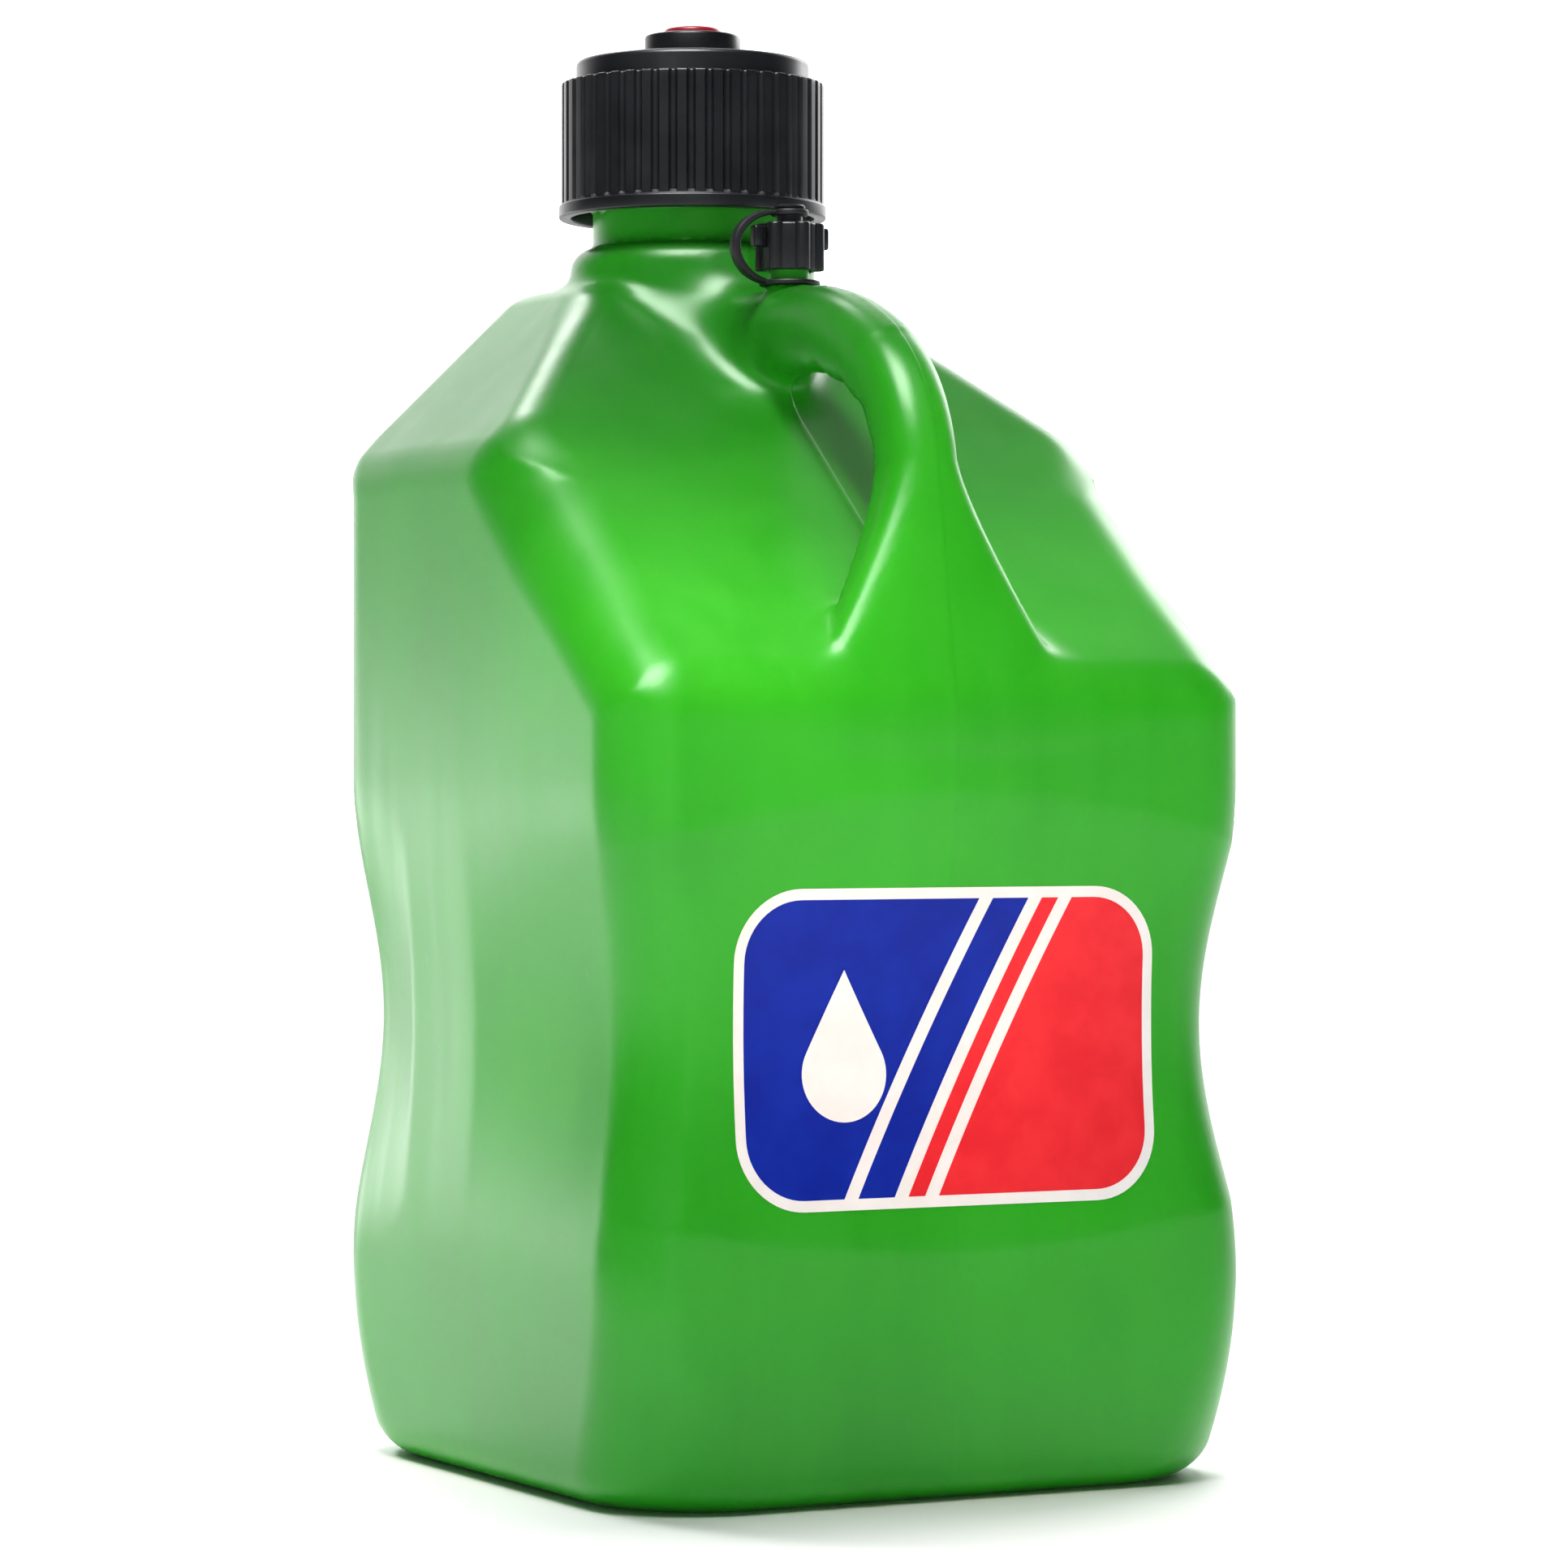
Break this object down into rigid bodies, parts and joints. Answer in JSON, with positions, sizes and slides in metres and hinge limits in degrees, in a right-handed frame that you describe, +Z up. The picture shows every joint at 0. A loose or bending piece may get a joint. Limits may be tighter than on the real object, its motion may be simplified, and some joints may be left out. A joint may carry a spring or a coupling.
{
  "type": "fuel jug",
  "caption": "Square plastic utility fuel jug with a pinched waist, a hollow handle over a sloping front, a fluted screw cap with a central port, and a tethered vent cap.",
  "frame": {"origin": "centre of the base, on the surface that the jug stands on", "axes": "+Z up, the handle, the sloping shoulder and the label face -Y, +X to the right when the label is looked at"},
  "size_m": [0.262, 0.262, 0.5532],
  "materials": {
    "green_plastic": "satin",
    "label_film": "printed film, satin",
    "black_plastic": "satin",
    "tether_plastic": "soft satin",
    "red_plastic": "gloss",
    "seal_rubber": "matt"
  },
  "bodies": {
    "container": {"container_body": "green_plastic", "front_label": "label_film", "vent_tether": "tether_plastic"},
    "cap_liner": {"cap_gasket": "seal_rubber"},
    "cap": {"screw_cap": "black_plastic"},
    "port": {"port_plug": "red_plastic", "port_seal": "seal_rubber"},
    "nut": {"port_nut": "black_plastic"},
    "vent_liner": {"vent_gasket": "seal_rubber"},
    "vent": {"vent_cap": "black_plastic"}
  },
  "joints": [
    {"name": "cap_lift", "type": "slide", "parent": "container", "child": "cap_liner", "axis": [0, 0, 1], "range_m": [0, 0.016]},
    {"name": "cap_turn", "type": "hinge", "parent": "cap_liner", "child": "cap", "pos_m": [0, 0.078, 0.505], "axis": [0, 0, 1], "range_deg": [0, 720]},
    {"name": "port_lift", "type": "slide", "parent": "cap", "child": "port", "axis": [0, 0, 1], "range_m": [0, 0.00562]},
    {"name": "port_turn", "type": "hinge", "parent": "port", "child": "nut", "pos_m": [0, 0.078, 0.542], "axis": [0, 0, 1], "range_deg": [0, 810]},
    {"name": "vent_lift", "type": "slide", "parent": "container", "child": "vent_liner", "axis": [0, 0, 1], "range_m": [0, 0.008], "deforming": ["vent_tether"]},
    {"name": "vent_turn", "type": "hinge", "parent": "vent_liner", "child": "vent", "pos_m": [0, -0.0035, 0.458], "axis": [0, 0, 1], "range_deg": [0, 720]}
  ],
  "couplings": [
    {"joint": "cap_lift", "follows": "cap_turn", "m_per_rad": 0.0012732},
    {"joint": "port_lift", "follows": "port_turn", "m_per_rad": 0.0003978},
    {"joint": "vent_lift", "follows": "vent_turn", "m_per_rad": 0.0006366}
  ]
}
